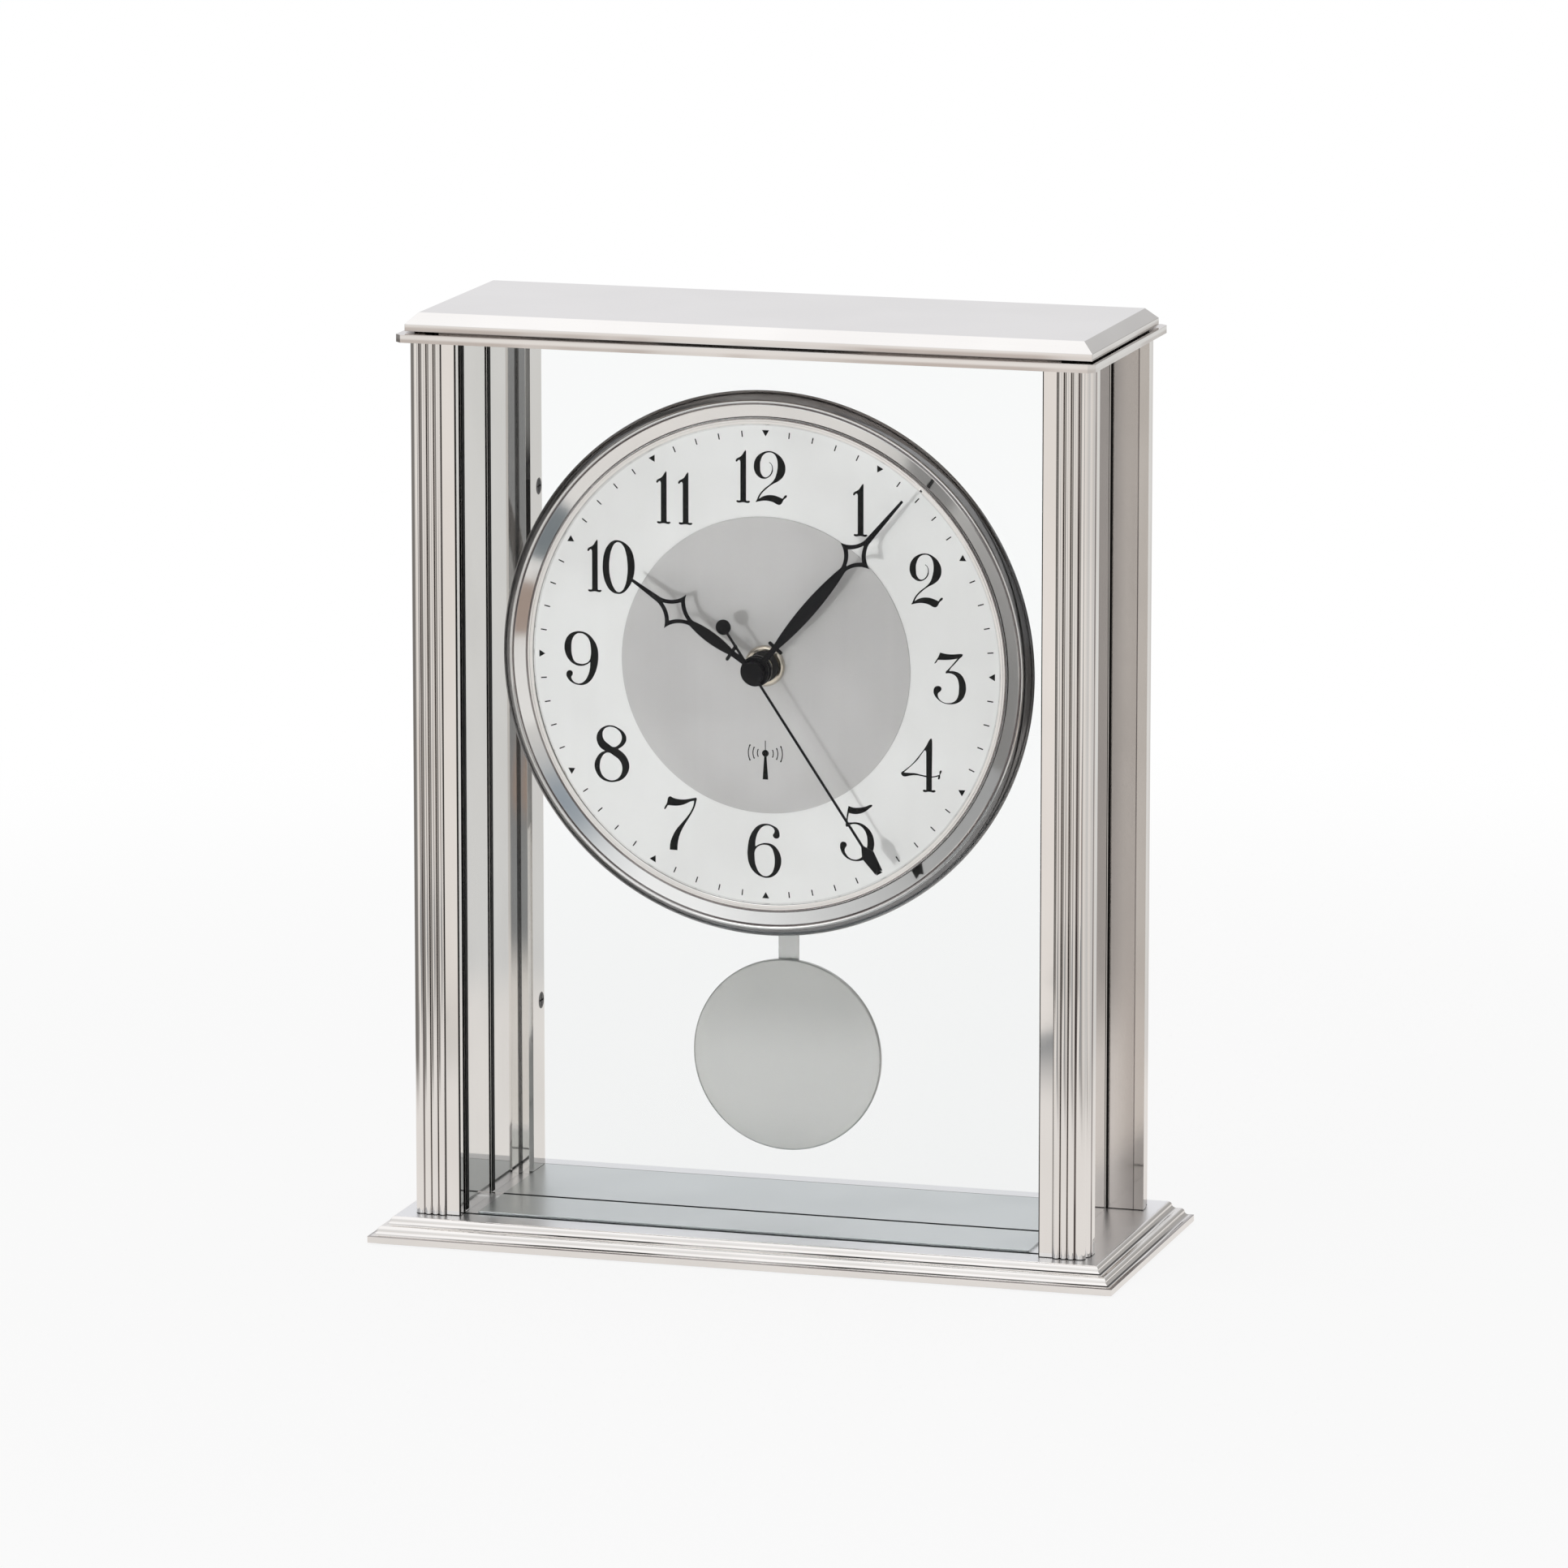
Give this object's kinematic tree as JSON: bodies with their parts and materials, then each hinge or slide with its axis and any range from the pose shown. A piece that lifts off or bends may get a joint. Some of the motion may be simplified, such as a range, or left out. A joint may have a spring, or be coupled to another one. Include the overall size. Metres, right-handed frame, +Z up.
{
  "type": "desk pendulum clock",
  "caption": "Glazed metal mantel clock with reeded corner pillars, moulded base, bevelled top, round dial with three hands and a swinging disc pendulum behind glass.",
  "frame": {"origin": "centre of the base's underside, on the surface the clock stands on", "axes": "+Z up, front of the clock towards -Y, +X to the right seen from the front"},
  "size_m": [0.2012, 0.0854, 0.245],
  "materials": {
    "polished": "mirror-polished nickel, slightly warm",
    "polished_ring": "polished bezel",
    "satin_floor": "satin",
    "pane": "clear",
    "dial_white": "satin white",
    "dial_brushed": "vertically brushed",
    "hand_black": "satin black",
    "nut_brass": "polished",
    "satin_bob": "satin",
    "rod_steel": "satin",
    "dark_screw": "blackened steel",
    "steel_screw": "zinc plated",
    "pan_steel": "rolled sheet",
    "felt": "felt",
    "washer": "matte",
    "case_black": "fine texture",
    "wheel_plastic": "smooth",
    "button_plastic": "smooth",
    "board": "solder mask",
    "copper": "enamelled wire",
    "magnet": "plated",
    "cell": "plain satin sleeve"
  },
  "bodies": {
    "case": {"antenna": "copper", "base_felt": "felt", "base_plinth": "polished", "base_screws": "steel_screw", "battery": "cell", "battery_contacts": "steel_screw", "bezel_ring": "polished_ring", "cap_plate": "polished", "cap_screws": "steel_screw", "cap_slab": "polished", "carrier_glass": "pane", "centre_spacer": "pan_steel", "circuit_board": "board", "cover_screws": "steel_screw", "dial_centre": "dial_brushed", "dial_pan": "pan_steel", "dial_plate": "dial_white", "drive_coil": "copper", "floor_plate": "satin_floor", "front_glass": "pane", "hand_nut": "nut_brass", "inner_ring": "polished_ring", "motor_coils": "copper", "motor_stators": "steel_screw", "movement_case": "case_black", "movement_cover": "case_black", "neck_washers": "washer", "pillar_front_left": "polished", "pillar_front_right": "polished", "pillar_rear_left": "polished", "pillar_rear_right": "polished", "pivot_pin": "rod_steel", "plate_screws": "steel_screw", "rear_strip_left": "polished", "rear_strip_right": "polished", "side_panel_left": "polished", "side_panel_right": "polished", "strip_screws": "dark_screw", "tact_switches": "board"},
    "hour_hand": {"hour_hand": "hand_black", "hour_wheel": "wheel_plastic"},
    "minute_hand": {"minute_hand": "hand_black", "minute_wheel": "wheel_plastic"},
    "second_hand": {"second_hand": "hand_black", "second_wheel": "wheel_plastic"},
    "motion_wheel": {"motion_wheel": "wheel_plastic"},
    "minute_rotor": {"minute_rotor": "wheel_plastic"},
    "second_rotor": {"second_rotor": "wheel_plastic"},
    "pendulum": {"pendulum_arm": "case_black", "drive_magnet": "magnet", "pendulum_rod": "rod_steel", "pendulum_bob": "satin_bob", "bob_clips": "rod_steel"},
    "set_button": {"set_button": "button_plastic"},
    "receive_button": {"receive_button": "button_plastic"},
    "reset_button": {"reset_button": "button_plastic"}
  },
  "joints": [
    {"name": "minute_turn", "type": "hinge", "parent": "case", "child": "minute_hand", "pos_m": [0, 0, 0.1545], "axis": [0, 1, 0], "continuous": true},
    {"name": "hour_turn", "type": "hinge", "parent": "case", "child": "hour_hand", "pos_m": [0, 0, 0.1545], "axis": [0, 1, 0], "continuous": true},
    {"name": "second_turn", "type": "hinge", "parent": "case", "child": "second_hand", "pos_m": [0, 0, 0.1545], "axis": [0, 1, 0], "continuous": true},
    {"name": "motion_turn", "type": "hinge", "parent": "case", "child": "motion_wheel", "pos_m": [-0.01, 0, 0.1545], "axis": [0, 1, 0], "continuous": true},
    {"name": "minute_rotor_turn", "type": "hinge", "parent": "case", "child": "minute_rotor", "pos_m": [0.014, 0, 0.1545], "axis": [0, 1, 0], "continuous": true},
    {"name": "second_rotor_turn", "type": "hinge", "parent": "case", "child": "second_rotor", "pos_m": [0, 0, 0.1405], "axis": [0, 1, 0], "continuous": true},
    {"name": "pendulum_swing", "type": "hinge", "parent": "case", "child": "pendulum", "pos_m": [0, 0.006, 0.156], "axis": [0, 1, 0], "range_deg": [-8, 8]},
    {"name": "set_press", "type": "slide", "parent": "case", "child": "set_button", "axis": [0, -1, 0], "range_m": [0, 0.0008], "stiffness_N_per_m": 300},
    {"name": "receive_press", "type": "slide", "parent": "case", "child": "receive_button", "axis": [0, -1, 0], "range_m": [0, 0.0008], "stiffness_N_per_m": 300},
    {"name": "reset_press", "type": "slide", "parent": "case", "child": "reset_button", "axis": [0, -1, 0], "range_m": [0, 0.0008], "stiffness_N_per_m": 300}
  ],
  "couplings": [
    {"joint": "hour_turn", "follows": "minute_turn", "ratio": 0.083333},
    {"joint": "motion_turn", "follows": "minute_turn", "ratio": -0.33333},
    {"joint": "minute_rotor_turn", "follows": "minute_turn", "ratio": -6},
    {"joint": "second_rotor_turn", "follows": "second_turn", "ratio": -6}
  ]
}
